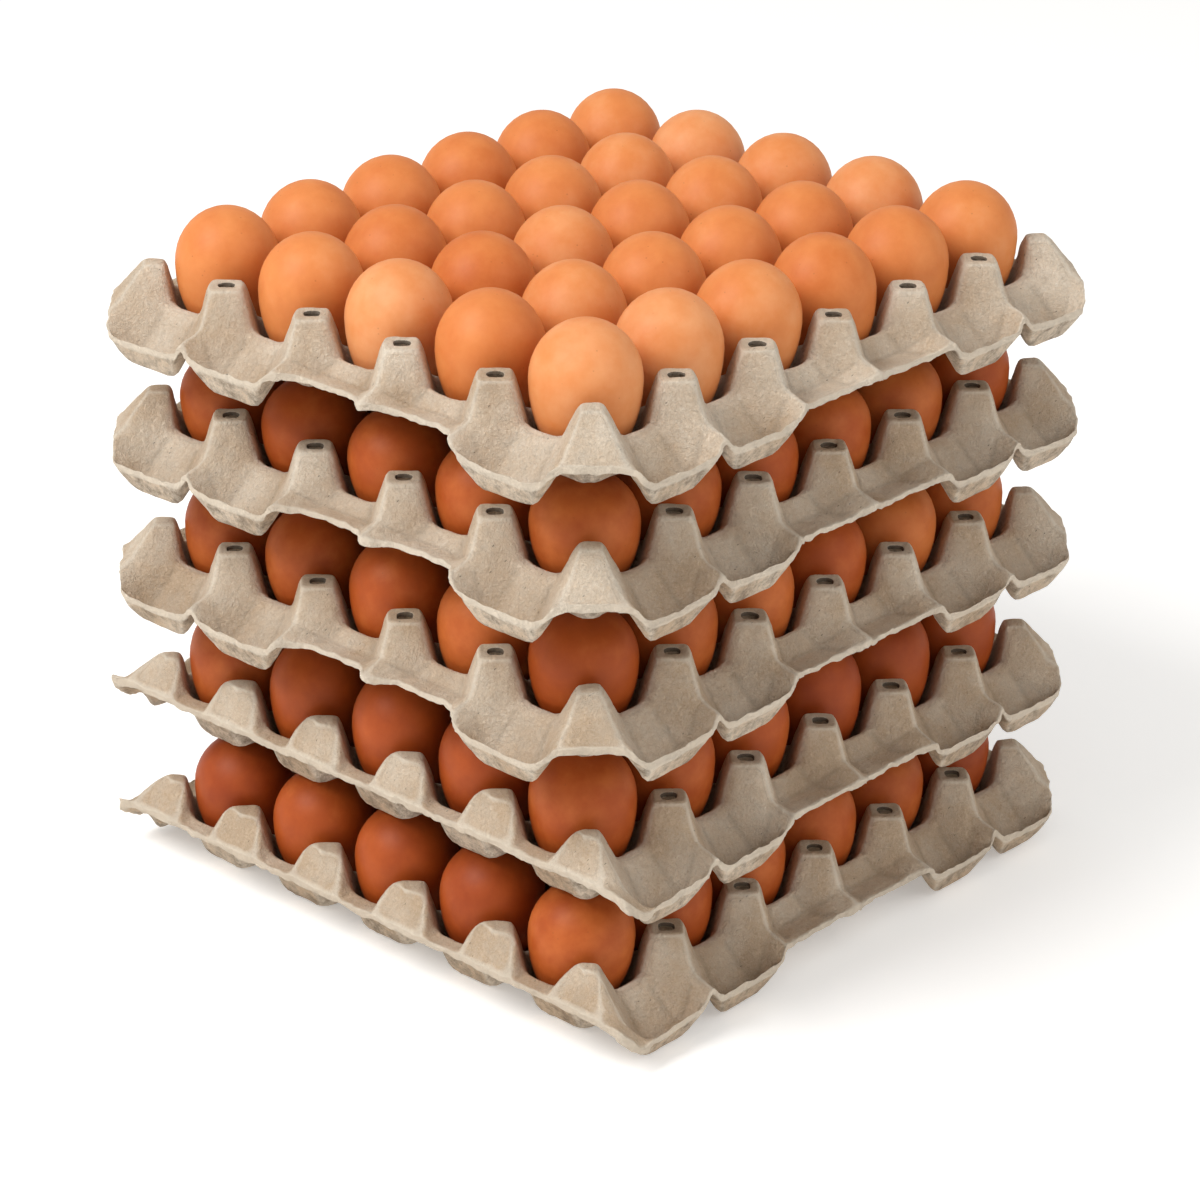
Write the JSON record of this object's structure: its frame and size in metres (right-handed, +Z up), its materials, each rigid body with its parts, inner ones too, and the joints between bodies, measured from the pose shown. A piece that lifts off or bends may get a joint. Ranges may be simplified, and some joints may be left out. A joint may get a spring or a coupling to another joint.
{
  "type": "stack of pulp egg trays",
  "caption": "Stack of moulded pulp egg trays with tapered posts, cups and a wavy skirt, each filled with brown eggs that carry the tray above.",
  "frame": {"origin": "middle of the stack's plan at the underside of the lowest tray's cup floors", "axes": "+Z up; +X along the long side of a tray; +Y along the short side, away from the front right side"},
  "size_m": [0.34, 0.305, 0.3034],
  "materials": {
    "moulded_pulp": "matt, rough, fibrous grey pulp",
    "eggshell": "satin brown eggshell"
  },
  "bodies": {
    "root": {"tray_1": "moulded_pulp", "tray_2": "moulded_pulp", "tray_3": "moulded_pulp", "tray_4": "moulded_pulp", "tray_5": "moulded_pulp", "egg_row_1_1": "eggshell", "egg_row_1_2": "eggshell", "egg_row_1_3": "eggshell", "egg_row_1_4": "eggshell", "egg_row_1_5": "eggshell", "egg_row_2_1": "eggshell", "egg_row_2_2": "eggshell", "egg_row_2_3": "eggshell", "egg_row_2_4": "eggshell", "egg_row_2_5": "eggshell", "egg_row_3_1": "eggshell", "egg_row_3_2": "eggshell", "egg_row_3_3": "eggshell", "egg_row_3_4": "eggshell", "egg_row_3_5": "eggshell", "egg_row_4_1": "eggshell", "egg_row_4_2": "eggshell", "egg_row_4_3": "eggshell", "egg_row_4_4": "eggshell", "egg_row_4_5": "eggshell", "egg_row_5_1": "eggshell", "egg_row_5_2": "eggshell", "egg_row_5_3": "eggshell", "egg_row_5_4": "eggshell", "egg_row_5_5": "eggshell"}
  },
  "joints": []
}
